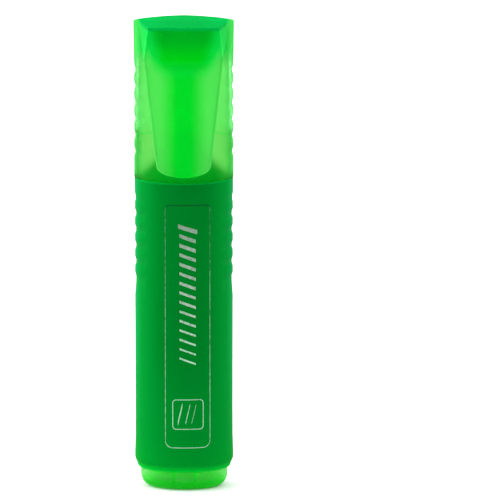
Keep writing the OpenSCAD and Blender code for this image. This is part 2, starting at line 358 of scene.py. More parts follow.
def cap_plastic():
    """Frosted fluorescent plastic, deeper in colour where the wall is thick under the closed end, with painted shade on
    the clip and edges and a painted green glow.
    """
    m = Mat("frosted_cap_plastic", attribute="moulded_at")
    x, y, z = m.xyz()
    ax = m.math("ABSOLUTE", x)
    cloud = m.noise(110, 3)
    thin = m.mix(m.rng(cloud, 0.0, 1.0), (0.30, 0.625, 0.285), (0.28, 0.605, 0.265))
    # The skirt below the inner step is thinner and a little greyer.
    s2 = m.math("MAXIMUM", m.math("SUBTRACT", 1.0, m.math("POWER", m.math("DIVIDE", ax, 11.0 * MM), 2.0)), 0.0)
    step = m.math("ADD", m.math("MULTIPLY", m.math("POWER", s2, 1.5), 2.8 * MM), 89.85 * MM)
    dz = m.math("SUBTRACT", z, step)
    thin = m.mix(m.rng(dz, 1.0, 0.0, -0.0001, 0.0001), thin, (0.335, 0.60, 0.28))
    line = m.rng(m.math("ABSOLUTE", dz), 1.0, 0.0, 0.00012, 0.0003)
    thin = m.mix(m.math("MULTIPLY", line, 0.55), thin, (0.05, 0.58, 0.09))
    # The upper corners are deeper.
    corner = m.rng(z, 0.0, 1.0, 0.1065, 0.1108)
    thin = m.mix(corner, thin, (0.015, 0.55, 0.080))
    # The clip is the thinnest moulding; its centre is painted deeper, as painted shade of the neck behind it seen
    # through the frosted clip.
    core = m.rng(ax, 1.0, 0.0, 0.0014, 0.0066, soft=True)
    clip = m.mix(core, (0.14, 0.685, 0.146), (0.002, 0.665, 0.030))
    # Its rolled sides are painted a little deeper, as painted edge shade, down to the rounded tip.
    half = m.rng(z, 6.7 * MM, 9.72 * MM, CLIP_TIP * MM + 0.003, ROOT * MM)
    side = m.math("MULTIPLY", m.rng(m.math("SUBTRACT", half, ax), 1.0, 0.0, 0.0003, 0.0008),
                  m.rng(z, 0.0, 1.0, CLIP_TIP * MM + 0.002, CLIP_TIP * MM + 0.006))
    clip = m.mix(m.math("MULTIPLY", side, 0.42), clip, (0.02, 0.42, 0.06))
    # The wall behind the clip is moulded thin as well.
    wide = m.rng(z, 6.2 * MM, 8.6 * MM, 0.083, 0.109)
    hidden = m.math("MULTIPLY", m.rng(m.math("SUBTRACT", ax, wide), 1.0, 0.0, -0.0010, 0.0002), m.rng(y, 0.0, 1.0, -0.002, -0.004))
    hidden = m.math("MULTIPLY", hidden, m.rng(z, 0.0, 1.0, 0.0815, 0.084))
    thin = m.mix(hidden, thin, (0.50, 0.82, 0.48))
    tongue = m.rng(y, 0.0, 1.0, -0.0086, -0.0089)
    thin = m.mix(tongue, thin, clip)
    # Painted shade along the rim and the side silhouette edges.
    thin = m.mix(m.rng(z, 1.0, 0.0, 0.07848, 0.0788), thin, (0.02, 0.62, 0.08))
    thin = m.mix(m.rng(ax, 0.0, 1.0, 0.0103, 0.0118), thin, m.mix(corner, (0.07, 0.44, 0.10), (0.075, 0.58, 0.105)))
    # The solid root of the clip: a wide bowl with rounded lower corners.
    u = m.math("DIVIDE", ax, 8.9 * MM)
    low = m.math("ADD", m.math("MULTIPLY", m.math("POWER", u, 5.0), 5.5 * MM), 107.9 * MM)
    above = m.math("SUBTRACT", z, low)
    front = m.rng(y, 0.0, 1.0, -0.0096, -0.0101)
    fade = m.math("MULTIPLY", m.rng(ax, 1.0, 0.0, 0.0042, 0.0096, soft=True), front)
    bowl = m.math("MULTIPLY", m.rng(above, 0.0, 1.0, -0.0022, 0.0022, soft=True), fade)
    # A saturated margin on both sides of the bowl.
    margin = m.math("MAXIMUM", m.rng(above, 0.0, 1.0, -0.0032, 0.0008), m.rng(z, 0.0, 0.9, 0.109, 0.1125))
    margin = m.math("MULTIPLY", m.math("MULTIPLY", margin, m.rng(ax, 1.0, 0.0, 0.0096, 0.0108)), tongue)
    col = m.mix(margin, thin, (0.004, 0.66, 0.085))
    col = m.mix(bowl, col, (0.0, 0.50, 0.002))
    col = m.mix(m.math("MULTIPLY", m.rng(above, 0.0, 1.0, 0.0012, 0.0082, soft=True), fade), col, (0.0, 0.29, 0.010))
    lid = m.math("MULTIPLY", m.rng(z, 0.0, 1.0, 0.1169, 0.1176), m.rng(ax, 1.0, 0.0, 0.0106, 0.0113))
    col = m.mix(lid, col, m.mix(m.rng(ax, 0.0, 1.0, 0.004, 0.010), (0.0, 0.32, 0.058), (0.0, 0.375, 0.070)))
    m.l(col, m.p.inputs["Base Color"])
    # Milkier where the moulding is solid.
    milky = m.math("MULTIPLY", m.math("MAXIMUM", bowl, lid), 0.68)
    milky = m.math("MAXIMUM", milky, m.math("MULTIPLY", tongue, 0.42))
    milky = m.math("MAXIMUM", milky, m.math("MULTIPLY", corner, 0.55))
    m.l(m.math("SUBTRACT", 1.0, milky), m.p.inputs["Transmission Weight"])
    blur = m.math("MULTIPLY", m.math("MAXIMUM", bowl, lid), 0.38)
    blur = m.math("MAXIMUM", blur, m.math("MULTIPLY", tongue, 0.18))
    blur = m.math("MAXIMUM", blur, m.math("MULTIPLY", m.rng(dz, 1.0, 0.0, -0.0001, 0.0001), 0.28))
    blur = m.math("MAXIMUM", blur, m.math("MULTIPLY", corner, 0.36))
    m.l(m.math("ADD", m.rng(m.noise(620, 4), 0.40, 0.48), blur), m.p.inputs["Roughness"])
    # The emission is a painted green glow standing in for the plastic's fluorescence.
    m.s(IOR=1.15, Specular_IOR_Level=0.2, Emission_Strength=0.085)
    m.p.inputs["Specular Tint"].default_value = (0.0, 1.0, 0.2, 1)
    m.p.inputs["Emission Color"].default_value = (0.0, 1.0, 0.05, 1)
    grain = m.noise(4200, 2)
    h = m.math("ADD", m.math("MULTIPLY", grain, 0.5), m.math("MULTIPLY", m.noise(75, 2), 0.7))
    m.bump(h, 0.15, 0.00006)
    return m.m


# The barrel's colour carries painted light: deepest in the middle, lighter towards the sides and over the lower part
# where lamp and floor light fall, with painted highlights on the rounded foot edge and the rim bevel at both ends.
mat_barrel = opaque_plastic("emerald_barrel_plastic", (0.0, 0.162, 0.0145), (0.0, 0.174, 0.0168), rough=(0.5, 0.6), spec=0.07,
                            ior=1.2, bands=(((0.0, 0.217, 0.021), 37, 16), ((0.0, 0.242, 0.018), 14, 8),
                                            ((0.0, 0.46, 0.025), TAIL + 1.7, TAIL + 0.1), ((0.0, 0.36, 0.045), SEAM - 0.45, SEAM - 0.1)))
mat_nose = opaque_plastic("emerald_nose_plastic", (0.0, 0.335, 0.055), (0.0, 0.365, 0.062), rough=(0.48, 0.58), spec=0.15,
                          low=(0.0, 0.37, 0.045), z0=0.080, z1=0.0905)
mat_cap = cap_plastic()
mat_liner = clear_plastic("frosted_liner_plastic", (0.10, 0.86, 0.14), (0.08, 0.84, 0.12), rough=(0.5, 0.6), trans=0.5, emit=0.10)
mat_plug = clear_plastic("fluorescent_plug_plastic", (0.26, 0.63, 0.23), (0.22, 0.60, 0.19), rough=(0.42, 0.52), trans=0.9, emit=0.08,
                         deep_low=(0.0, 0.80, 0.0), z0=0.0030, z1=0.0018)


def felt():
    m = Mat("ink_soaked_felt")
    fibre = m.noise(2600, 4, 0.7, stretch=(1, 1, 0.12))
    pores = m.noise(6500, 2, 0.6)
    col = m.mix(m.rng(fibre, 0.0, 1.0), (0.0, 0.05, 0.008), (0.0, 0.135, 0.018))
    m.l(col, m.p.inputs["Base Color"])
    m.l(m.rng(pores, 0.62, 0.86), m.p.inputs["Roughness"])
    m.s(IOR=1.2, Specular_IOR_Level=0.1)
    m.p.inputs["Specular Tint"].default_value = (0.0, 1.0, 0.3, 1)
    m.bump(m.math("ADD", m.math("MULTIPLY", fibre, 1.0), m.math("MULTIPLY", pores, 0.5)), 0.5, 0.00012)
    return m.m


def fibre_rod():
    m = Mat("ink_fibre")
    fibre = m.noise(1800, 4, 0.65, stretch=(1, 1, 0.04))
    col = m.mix(m.rng(fibre, 0.0, 1.0), (0.2, 0.7, 0.1), (0.35, 0.9, 0.2))
    m.l(col, m.p.inputs["Base Color"])
    m.l(m.rng(fibre, 0.6, 0.9), m.p.inputs["Roughness"])
    m.bump(fibre, 0.5, 0.0002)
    return m.m


def film():
    m = Mat("clear_film")
    col = m.mix(m.rng(m.noise(160, 3), 0.0, 1.0), (0.8, 0.88, 0.8), (0.9, 0.95, 0.9))
    m.l(col, m.p.inputs["Base Color"])
    m.l(m.rng(m.noise(300, 3), 0.15, 0.3), m.p.inputs["Roughness"])
    m.s(IOR=1.4, Transmission_Weight=0.6)
    m.bump(m.noise(120, 2, stretch=(1, 1, 0.2)), 0.3, 0.0002)
    return m.m


def foil():
    m = Mat("hot_foil_silver")
    x, y, z = m.xyz()
    flake = m.noise(2400, 4, 0.7)
    wide = m.noise(260, 3)
    # Darker in patches towards the top of the print.
    dull_top_patches = m.math("MULTIPLY", m.rng(z, 0.0, 1.0, 0.0705, 0.0738), m.rng(m.noise(900, 3), 0.5, 1.0), clamp=True)
    col = m.mix(m.rng(flake, 0.0, 1.0), (0.18, 0.30, 0.20), (0.37, 0.47, 0.38))
    sides = m.rng(m.math("ABSOLUTE", m.math("SUBTRACT", x, 0.8 * MM)), 0.0, 1.0, 0.0050, 0.0052)
    # Brighter and greener at the foot of the print, duller at its top.
    col = m.mix(m.rng(z, 0.65, 0.0, 0.030, 0.048), col, (0.32, 0.64, 0.42))
    col = m.mix(m.rng(z, 0.0, 0.5, 0.050, 0.071), col, (0.06, 0.12, 0.07))
    frame_line = m.math("MULTIPLY", sides, m.rng(z, 0.38, 0.75, 0.028, 0.062))
    top_line = m.rng(z, 0.0, 1.0, 0.0719, 0.0724)
    col = m.mix(frame_line, col, (0.03, 0.29, 0.095))
    patch = m.math("MULTIPLY", m.rng(m.noise(1500, 3, 0.65), 0.0, 1.0, 0.57, 0.64), 0.6)
    gaps = m.math("MULTIPLY", frame_line, m.rng(m.noise(1300, 3, 0.7, stretch=(1, 1, 0.5)), 0.0, 1.6, 0.46, 0.6))
    col = m.mix(m.math("MAXIMUM", m.math("MAXIMUM", dull_top_patches, patch), gaps), col, (0.01, 0.13, 0.03))
    col = m.mix(top_line, col, (0.0, 0.03, 0.008))
    m.l(col, m.p.inputs["Base Color"])
    m.l(m.rng(wide, 0.26, 0.46), m.p.inputs["Roughness"])
    m.s(Metallic=0.85)
    m.bump(flake, 0.35, 0.00005)
    return m.m


mat_nib = felt()
mat_rod = fibre_rod()
mat_film = film()
mat_foil = foil()


def finish_piece(ob, material, slot, body, *nodes):
    ob.data.materials.clear()
    ob.data.materials.append(material)
    if body:
        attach(ob, body)
    if nodes:
        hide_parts(*nodes)
    return ob


# ---------------------------------------------------------------------------
# Barrel
# ---------------------------------------------------------------------------
RIB_D = 0.27
bar_a = profile([(TAIL, BA - 1.1), (TAIL + 0.35, BA - 0.72), (TAIL + 0.9, BA - 0.58), (TAIL + 1.4, BA - 0.37),
                 (TAIL + 2.0, BA - 0.12), (TAIL + 2.7, BA + 0.01), (TAIL + 3.6, BA + 0.02), (TAIL + 5.6, BA - 0.04),
                 (TAIL + 8.1, BA - 0.12), (TAIL + 15, BA - 0.14), (TAIL + 30, BA - 0.12), (TAIL + 43.1, BA - 0.08),
                 (TAIL + 46.5, BA - 0.07), (SEAM - 6, BA - 0.06), (SEAM - 2.6, BA - 0.005), (SEAM - 0.3, BA),
                 (SEAM - 0.12, BA - 0.03), (SEAM, BA - 0.14)])
BAR_VALLEYS = [SEAM - 5.2 - 4.03 * k for k in range(6)]
CAP_VALLEYS = [TOP - 12.7 - 4.1 * k for k in range(6)]


def valley_depth(z, centres, depth):
    z = np.asarray(z, float)
    g = np.zeros_like(z)
    for c in centres:
        g = np.maximum(g, depth * (1 - smoothstep(0.35, 1.35, np.abs(z - c))))
    return g


def bar_groove(z):
    g = np.maximum(valley_depth(z, BAR_VALLEYS[:1], RIB_D * 0.6), valley_depth(z, BAR_VALLEYS[1:-1], RIB_D))
    # The last valley runs out slowly into the slim waist.
    c = BAR_VALLEYS[-1]
    s = np.asarray(z, float) - c
    tail = np.where(s > 0, 1 - smoothstep(0.35, 1.35, s), 1 - smoothstep(0.4, 5.2, -s))
    return np.maximum(g, RIB_D * tail)


def z_levels(parts):
    out = []
    for a, b, step in parts:
        n = max(1, int(round((b - a) / step)))
        out += [a + (b - a) * i / n for i in range(n)]
    out.append(parts[-1][1])
    return out


def build_barrel():
    N = 192
    zs = z_levels([(TAIL, TAIL + 3.6, 0.2), (TAIL + 3.6, 44, 1.4), (44, SEAM - 2.6, 0.24),
                   (SEAM - 2.6, SEAM - 0.3, 0.6), (SEAM - 0.3, SEAM, 0.1)])
    rings = []
    for z in zs:
        a = float(bar_a(z))
        rings.append(oval(z, a, a - OFF, a - OFF, N, g=float(bar_groove(z))))
    na, nb = NEST_A, NEST_B
    ia, ib = BA - 1.5, BB - 1.5
    rings += [oval(SEAM, BA - 0.24, BB - 0.24, BB - 0.24, N), oval(SEAM, na + 0.14, nb + 0.14, nb + 0.14, N),
              oval(SEAM - 0.1, na + 0.03, nb + 0.03, nb + 0.03, N), oval(SEAM - 0.5, na, nb, nb, N),
              oval(SEAM - 8.4, na, nb, nb, N), oval(SEAM - 8.4, ia, ib, ib, N)]
    for z in np.linspace(SEAM - 12, TAIL + 0.3, 20):
        rings.append(oval(z, ia, ib, ib, N))
    rings.append(oval(TAIL, ia + 0.05, ib + 0.05, ib + 0.05, N))
    ob = loft("barrel_shell", rings, close=True, angle=34)
    return finish_piece(ob, mat_barrel, "barrel_plastic", "pen", "barrel")


barrel = build_barrel()


# ---------------------------------------------------------------------------
# Nose section
# ---------------------------------------------------------------------------
def slab_ring(z, w, t, r, N):
    """Round-cornered slab outline sampled by angle."""
    ang = np.linspace(0, 2 * np.pi, N, endpoint=False)
    out = []
    for q in ang:
        c, s = math.cos(q), math.sin(q)
        lo, hi = 0.0, 10.0
        for _ in range(40):
            mid = (lo + hi) / 2
            x, y = abs(c * mid), abs(s * mid)
            dx, dy = max(x - (w / 2 - r), 0), max(y - (t / 2 - r), 0)
            inside = math.hypot(dx, dy) <= r and x <= w / 2 and y <= t / 2
            if inside:
                lo = mid
            else:
                hi = mid
        out.append((c * lo, s * lo, z))
    return np.array(out)


def build_nose():
    N = 160
    na, nb = NEST_A - 0.03, NEST_B - 0.03
    fh, r1 = 11.1, NECK_R + 0.17
    rings = [oval(SEAM - 8.3, na, nb, nb, N), oval(SEAM - 0.6, na, nb, nb, N),
             oval(SEAM - 0.12, na - 0.05, nb - 0.05, nb - 0.05, N), oval(SEAM + 0.06, na - 0.14, nb - 0.14, nb - 0.14, N),
             oval(SEAM + 0.30, na - 0.16, nb - 0.16, nb - 0.16, N)]
    for i in range(1, 44):
        t = 1 - i / 44
        q = t ** 2.05
        z = SEAM + 0.30 + (fh - 0.30) * (1 - t)
        rings.append(oval(z, r1 + (na - 0.16 - r1) * q, r1 + (nb - 0.16 - r1) * q, r1 + (nb - 0.16 - r1) * q, N))
    zt = SEAM + fh
    for z, r in ((zt, r1), (zt + 0.75, r1), (zt + 0.9, r1 - 0.03), (zt + 1.1, NECK_R + 0.03), (zt + 1.3, NECK_R),
                 (zt + 4, NECK_R - 0.01), (NECK_TOP - 1.2, NECK_R - 0.01), (NECK_TOP - 0.62, NECK_R),
                 (NECK_TOP - 0.42, NECK_R - 0.04), (NECK_TOP - 0.24, NECK_R - 0.13), (NECK_TOP - 0.1, NECK_R - 0.28),
                 (NECK_TOP - 0.02, NECK_R - 0.46), (NECK_TOP, NECK_R - 0.62)):
        rings.append(oval(z, r, r, r, N))
    w, t = nib_hi[0] * 2 + 0.1, nib_hi[1] * 2 + 0.1
    rings += [slab_ring(NECK_TOP - 0.02, w + 0.1, t + 0.1, 2.1, N), slab_ring(NECK_TOP - 0.18, w, t, 2.05, N),
              slab_ring(SEAM + 8, w, t, 2.05, N)]
    for z, a, b in ((SEAM + 6.5, 3.6, 3.0), (SEAM + 2.0, 6.6, 4.3), (SEAM - 1.2, na - 1.3, nb - 1.3),
                    (SEAM - 8.3, na - 1.3, nb - 1.3)):
        rings.append(oval(z, a, b, b, N))
    ob = loft("nose_section_shell", rings, close=True, angle=38)
    return finish_piece(ob, mat_nose, "nose_plastic", "pen", "nose_section")


nose = build_nose()


# ---------------------------------------------------------------------------
# Nib
# ---------------------------------------------------------------------------
def build_nib():
    N = 144
    w, t = nib_hi[0] * 2, nib_hi[1] * 2
    base = slab_ring(0, w, t, 2.0, N)
    z0 = nib_lo[2]
    levels = list(np.linspace(0, 1, 8)[:-1] * (NECK_TOP - 0.3 - z0) + z0)
    rings = []
    for z in levels:
        r = base.copy()
        r[:, 2] = z
        rings.append(r)
    zs = NECK_TOP - 0.3
    tan = math.tan(math.radians(19))
    for i in range(0, 71):
        v = i / 70
        r = base.copy()
        # Left edge leans in almost straight, the right edge rounds over at its shoulder.
        lean_l = 0.68 * v ** 1.25
        lean_r = 0.28 * v ** 1.4 + 0.52 * v ** 6
        fx = base[:, 0] / (w / 2)
        r[:, 0] += np.where(fx < 0, -fx * lean_l, -fx * lean_r)
        ztop = NIB_TIP - 0.02 - (r[:, 0] + w / 2 - 0.7).clip(0) * tan
        ztop = ztop - 0.9 * smoothstep(1.2, 2.4, r[:, 0]) ** 2
        r[:, 2] = zs + (ztop - zs) * v
        # Chisel facets thin the nib towards the writing edge.
        lim = np.interp(r[:, 2], [NECK_TOP + 1.9, NECK_TOP + 2.3, NIB_TIP - 2.2, NIB_TIP], [t / 2, t / 2 - 0.1, 0.95, 0.35])
        r[:, 1] = np.clip(r[:, 1], -lim, lim)
        rings.append(r)
    last = rings[-1].copy()
    inner = last.copy()
    inner[:, 0] *= 0.93
    inner[:, 1] *= 0.6
    inner[:, 2] += 0.03
    rings.append(inner)
    ob = loft("chisel_nib", rings, angle=30)
    return finish_piece(ob, mat_nib, "nib_felt", "pen", "nib")


nib = build_nib()


# ---------------------------------------------------------------------------
# Tail plug
# ---------------------------------------------------------------------------
def build_plug():
    N = 192
    rings = []
    e, h = 2.8, 3.4
    for i in range(18, -1, -1):
        v = math.radians(i * 5)
        a = PA - e + e * math.cos(v)
        rings.append(oval(h - h * math.sin(v), a, a - OFF, a - OFF, N))
    # A first flat ring keeps the foot level out to its rounded edge.
    foot = PA - e - 0.35
    rings.insert(0, oval(0.0, foot, foot - OFF, foot - OFF, N))
    rings[1][:, 2] = 0.015
    for z, a in ((TAIL - 0.42, PA), (TAIL - 0.22, PA - 0.04), (TAIL - 0.1, PA - 0.14), (TAIL, PA - 0.16),
                 (TAIL + 0.4, PA - 0.11), (TAIL + 6.6, PA - 0.11), (TAIL + 7.2, PA - 0.2)):
        rings.append(oval(z, a, a - OFF, a - OFF, N))
    for z, a in ((TAIL + 7.3, PA - 0.4), (TAIL + 7.3, PA - 1.2), (TAIL + 7.0, PA - 1.35), (TAIL, PA - 1.4), (3.4, PA - 1.45),
                 (2.6, PA - 1.6), (2.0, PA - 2.0), (1.6, PA - 2.7), (1.45, PA - 3.4)):
        rings.append(oval(z, a, a - OFF, a - OFF, N))
    ob = loft("plug_body", rings, angle=40)
    # Two upright plates, front to back, that hold the reservoir off the floor of the plug.
    for k, sx in enumerate((-1, 1)):
        x0 = sx * 2.7
        yb = PA - 1.4 - OFF
        ys = yb * math.sqrt(1 - (x0 / (PA - 1.4)) ** 2) + 0.5
        pts = []
        zt = plug_hi[2]
        for z, th in ((1.1, 0.62), (2.2, 0.5), (zt - 0.15, 0.42), (zt, 0.3)):
            yy = ys if z > 1.5 else ys - 1.2
            pts.append([(x0 - th, -yy, z), (x0 + th, -yy, z), (x0 + th, yy, z), (x0 - th, yy, z)])
        plate = loft("plate", pts, angle=40)
        ob = boolean(ob, plate)
    ob.name = "tail_plug_body"
    shade(ob, 40)
    return finish_piece(ob, mat_plug, "plug_plastic", "pen", "tail_plug")


plug = build_plug()


# ---------------------------------------------------------------------------
# Inner cap
# ---------------------------------------------------------------------------
def build_inner_cap():
    N = 128
    z0, z1 = inner_lo[2], NIB_TIP + 1.6
    zs = inner_hi[2]
    r = NECK_R
    prof = [(z0 + 0.1, r + 0.62), (z0 + 0.02, r + 0.72), (z0 + 0.1, r + 0.85), (z0 + 0.4, r + 0.97), (z0 + 4, r + 0.97),
            (z1 - 1.5, r + 0.9), (z1 - 0.6, r + 0.78), (z1 + 0.1, r + 0.4), (z1 + 0.6, r - 0.3), (z1 + 0.85, 2.9),
            (z1 + 1.2, 2.5), (z1 + 1.6, 2.46), (zs - 0.2, 2.46), (zs, 2.25)]
    rings = [oval(z, a, a, a, N) for z, a in prof]
    inner = [(z0 + 0.05, r + 0.2), (z0 + 0.5, r + 0.1), (z0 + 4, r + 0.1), (z1 - 1.7, r + 0.06), (z1 - 0.7, r - 0.25), (z1 - 0.1, r - 1.1)]
    rings = [oval(z, a, a, a, N) for z, a in reversed(inner)] + rings
    ob = loft("inner_cap_liner", rings, angle=45)
    return finish_piece(ob, mat_liner, "liner_plastic", "cap", "inner_cap")


inner_cap = build_inner_cap()


# ---------------------------------------------------------------------------
# Cap: thin-walled wedge-shaped body, with the clip and its root grown on
# ---------------------------------------------------------------------------
TOPB = 5.1


def cap_b(z):
    return CB - (CB - TOPB) * ((np.asarray(z, float) - SEAM) / (TOP - SEAM)).clip(0, 1) ** 1.15


cap_a = profile([(SEAM, CA - 0.04), (SEAM + 0.05, CA - 0.01), (SEAM + 0.4, CA), (SEAM + 4, CA), (TOP - 14, CA),
                 (TOP - 12, CA - 0.06), (TOP - 9.5, CA + 0.0), (TOP - 7, CA + 0.06), (TOP - 4, CA + 0.08),
                 (TOP - 1.2, CA + 0.14), (TOP - 0.5, CA + 0.12), (TOP - 0.2, CA + 0.02), (TOP - 0.06, CA - 0.12),
                 (TOP, CA - 0.3)])


def cap_shape(z):
    """How far the section has turned from an oval, at the rim, to a pointed lens, at the closed end."""
    k = float(smoothstep(SEAM + 12, TOP - 1, z))
    return 2 - 0.42 * k, 2 - 0.75 * k, -0.35 * k


def cap_ring(z, N, inset=0.0, g=0.0, bf=None):
    ex, ey, y0 = cap_shape(z)
    a = float(cap_a(z)) - inset
    d = a - float(cap_a(z)) if z < TOP - 0.6 else a - CA - 0.14
    b = float(cap_b(z)) + d
    return oval(z, a, b, b - y0, N, g=g, ex=ex, ey=ey, y0=y0)


def build_cap_body():
    N = 192
    rings = []
    # Inside, from the closed end down to the rim.
    iw = 1.3
    for z, extra in ((TOP - 1.3, 1.3), (TOP - 1.38, 0.8), (TOP - 1.6, 0.35), (TOP - 2.1, 0.08)):
        rings.append(cap_ring(z, N, inset=iw + extra + 0.15))
    for z in np.linspace(TOP - 4, SEAM + 14.5, 16):
        rings.append(cap_ring(z, N, inset=iw))
    t = np.linspace(0, 2 * np.pi, N, endpoint=False)
    arch = 2.8 * (np.sin(t) ** 2) ** 1.5
    # The wall steps thinner below an arched line.
    for dz, k in ((0.3, 0.0), (0.12, 0.05), (0.07, 0.5), (0.0, 1.0), (-0.3, 1.0)):
        z = SEAM + 11.4 + dz
        r = cap_ring(z, N, inset=iw)
        thin = cap_ring(z, N, inset=0.78)
        r = r * (1 - k) + thin * k
        r[:, 2] = z + arch * (1.0 if k < 1 else 0.96)
        rings.append(r)
    for z in np.linspace(SEAM + 9.5, SEAM + 0.35, 10):
        r = cap_ring(z, N, inset=0.78)
        rings.append(r)
    rings.append(cap_ring(SEAM + 0.06, N, inset=0.74))
    rings.append(cap_ring(SEAM, N, inset=0.6))
    # Outside, from the rim up.
    zs = [SEAM, SEAM + 0.03, SEAM + 0.1, SEAM + 0.28] + z_levels([(SEAM + 0.5, TOP - 16 + 6, 0.24), (TOP - 10, TOP - 1.2, 0.8)])
    zs += [TOP - 0.9, TOP - 0.6, TOP - 0.42, TOP - 0.28, TOP - 0.17, TOP - 0.08, TOP - 0.02, TOP]
    for z in zs:
        rings.append(cap_ring(z, N, g=float(valley_depth(z, CAP_VALLEYS, RIB_D))))
    return loft("cap_body", rings, angle=34)


def clip_half_width(z):
    z = np.asarray(z, float)
    rz = CLIP_TIP + 3.0
    tip = 6.7 * np.sqrt(np.clip(1 - ((rz - z) / 3.0) ** 2, 0, 1))
    line = 6.7 + (9.72 - 6.7) * (z - rz) / (ROOT - rz)
    up = 9.72 + (11.1 - 9.72) * (z - ROOT) / (TOP - ROOT)
    return np.where(z < rz, np.minimum(tip, 6.7), np.where(z < ROOT, line, up))


def build_clip():
    rz = CLIP_TIP + 3.0
    th = CLIP_Y - 9.0
    rr = 0.42
    zs = [rz - 3.0 * math.cos(math.radians(q)) for q in np.linspace(1.5, 90, 20)]
    zs += list(np.linspace(rz + 0.6, ROOT - 3, 44))
    zs += list(np.linspace(ROOT - 2.8, TOP - 0.5, 52))
    zs += [TOP - 0.36, TOP - 0.24, TOP - 0.14, TOP - 0.06, TOP - 0.015, TOP]
    k = np.linspace(-1, 1, 81)
    u = np.sign(k) * (1 - (1 - np.abs(k)) ** 1.7)
    rings = []
    for z in zs:
        w = float(clip_half_width(z))
        x = u * w
        # Distance to the tongue's outline, for its rounded edge.
        if z < rz:
            f = 1 - (x / 6.7) ** 2 - ((rz - z) / 3.0) ** 2
            gx, gz = 2 * x / 6.7 ** 2, 2 * (rz - z) / 9.0
            dist = np.clip(f, 0, None) / np.sqrt(gx ** 2 + gz ** 2 + 1e-9)
        else:
            dist = w - np.abs(x)
        edge = rr - np.sqrt(np.clip(rr ** 2 - np.clip(rr - dist, 0, rr) ** 2, 0, None))
        crown = 0.16 * (x / 9.0) ** 2
        # Splayed flanks at the root.
        v = max(0.0, (z - ROOT) / (TOP - ROOT))
        xf = 9.72 - 1.02 * v
        depth = 9.55 * v ** 0.75
        flank = depth * np.clip((np.abs(x) - xf) / max(w - xf, 1e-3), 0, 1) if v > 0 else 0 * x
        flank = flank + 0.06 * v * np.exp(-((np.abs(x) - xf) / 0.5) ** 2)
        top_round = 0.34 - math.sqrt(max(0.34 ** 2 - max(0.0, 0.34 - (TOP - z)) ** 2, 0.0)) if TOP - z < 0.34 else 0.0
        soft = 1.0 - min(v * 3, 1.0)
        yf = -CLIP_Y + crown * (1 - v) + edge * soft + flank + top_round
        # Back face: the thin tongue, then the solid U-shaped root.
        plate = yf + th - 2 * edge * soft
        body_y = -(float(cap_b(min(z, TOP - 1))) - 0.7) * np.clip(1 - (np.abs(x) / 12.6) ** 2, 0.02, 1) ** 0.55
        zu = ROOT + 6.0 * (np.abs(x) / 9.4) ** 8
        mask = smoothstep(-2.0, 1.8, z - zu)
        mask = np.maximum(mask, smoothstep(TOP - 2.0, TOP - 1.2, z))
        yb = plate * (1 - mask) + np.maximum(body_y, plate) * mask
        front = np.stack([x, yf, np.full_like(x, z)], 1)
        back = np.stack([x, yb, np.full_like(x, z)], 1)[::-1]
        rings.append(np.concatenate([front, back]))
    return loft("clip_tongue", rings, angle=40)


def build_cap():
    body = build_cap_body()
    clip = build_clip()
    return boolean(body, clip)


cap = build_cap()
cap.name = "cap_with_clip"
shade(cap, 36)
cap.data.materials.clear()
cap.data.materials.append(mat_cap)
at = cap.data.attributes.new("moulded_at", "FLOAT_VECTOR", "POINT")
at.data.foreach_set("vector", np.array([v.co for v in cap.data.vertices], dtype=np.float32).ravel())
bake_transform(cap)
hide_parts("cap_shell", "pocket_clip")


# ---------------------------------------------------------------------------
# Silver print on the barrel's front
# ---------------------------------------------------------------------------
PX = 0.8


def on_barrel(x, z, lift):
    a = bar_a(z)
    b = a - OFF
    y = -b * np.sqrt(np.clip(1 - (x / a) ** 2, 0, 1))
    nx, ny = x / a ** 2, y / b ** 2
    ln = np.hypot(nx, ny)
    return np.stack([x + lift * nx / ln, y + lift * ny / ln, z], -1)


UP, DOWN = 0.03, -0.03
print_verts, print_faces = [], []


def add_patch(grid):
    """grid: (rows, cols, 2) of (x, z). Makes a thin closed skin that follows the barrel."""
    g = np.asarray(grid, float)
    m, n, _ = g.shape
    top = on_barrel(g[..., 0], g[..., 1], UP).reshape(-1, 3)
    bot = on_barrel(g[..., 0], g[..., 1], DOWN).reshape(-1, 3)
    base = sum(len(v) for v in print_verts)
    print_verts.append(np.concatenate([top, bot]))
    k = m * n
    area = 0.0
    for i in range(m - 1):
        for j in range(n - 1):
            p, q, r = g[i, j], g[i, j + 1], g[i + 1, j]
            area += (q[0] - p[0]) * (r[1] - p[1]) - (q[1] - p[1]) * (r[0] - p[0])
    flip = area < 0

    def put(f):
        print_faces.append(tuple(base + v for v in (f[::-1] if flip else f)))

    for i in range(m - 1):
        for j in range(n - 1):
            a, b, c, d = i * n + j, i * n + j + 1, (i + 1) * n + j + 1, (i + 1) * n + j
            put((a, b, c, d))
            put((k + d, k + c, k + b, k + a))
    border = ([(0, j) for j in range(n - 1)] + [(i, n - 1) for i in range(m - 1)]
              + [(m - 1, j) for j in range(n - 1, 0, -1)] + [(i, 0) for i in range(m - 1, 0, -1)])
    for (i, j), (i2, j2) in zip(border, border[1:] + border[:1]):
        a, b = i * n + j, i2 * n + j2
        put((k + a, k + b, b, a))


def stroke_loop(points, width):
    """A closed line of even width."""
    p = np.array(points, float)
    d = np.roll(p, -1, 0) - np.roll(p, 1, 0)
    nrm = np.stack([-d[:, 1], d[:, 0]], 1) / np.linalg.norm(d, axis=1)[:, None]
    a, b = p + nrm * width / 2, p - nrm * width / 2
    g = np.stack([a, b], 1)
    half = len(p) // 2
    add_patch(g[: half + 1])
    add_patch(np.concatenate([g[half:], g[:1]]))


